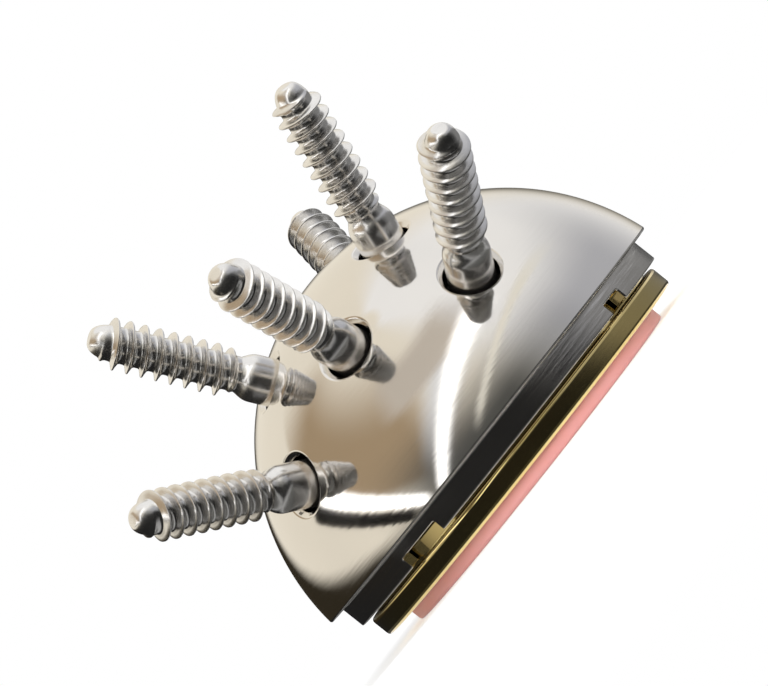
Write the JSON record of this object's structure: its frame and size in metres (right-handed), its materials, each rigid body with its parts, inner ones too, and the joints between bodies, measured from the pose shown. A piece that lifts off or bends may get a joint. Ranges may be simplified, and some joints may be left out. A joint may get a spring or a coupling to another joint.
{
  "type": "acetabular cup",
  "caption": "Modular acetabular cup of a hip replacement: domed metal shell with bone screws, flanged gold-coloured liner and a plastic bearing insert for a ball head.",
  "frame": {"origin": "on the cup's axis in the plane of the insert's rim, which is the face that the cup stands on", "axes": "+Z along the cup's axis from the mouth to the dome's pole, -Y towards the middle of the screw cluster"},
  "size_m": [0.0536, 0.067, 0.0461],
  "materials": {
    "shell_metal": "mirror polished",
    "liner_gold": "mirror polished, gold-coloured hard coating",
    "insert_plastic": "smooth matte, salmon pink",
    "screw_metal": "machined, satin"
  },
  "bodies": {
    "insert": {"insert": "insert_plastic"},
    "liner": {"liner": "liner_gold"},
    "shell": {"shell": "shell_metal", "screw_1": "screw_metal", "screw_2": "screw_metal", "screw_3": "screw_metal", "screw_4": "screw_metal", "screw_5": "screw_metal", "screw_6": "screw_metal"}
  },
  "joints": [
    {"name": "liner_lift", "type": "slide", "parent": "insert", "child": "liner", "axis": [0, 0, 1], "range_m": [0, 0.0215]},
    {"name": "shell_lift", "type": "slide", "parent": "liner", "child": "shell", "axis": [0, 0, 1], "range_m": [0, 0.0215]}
  ]
}
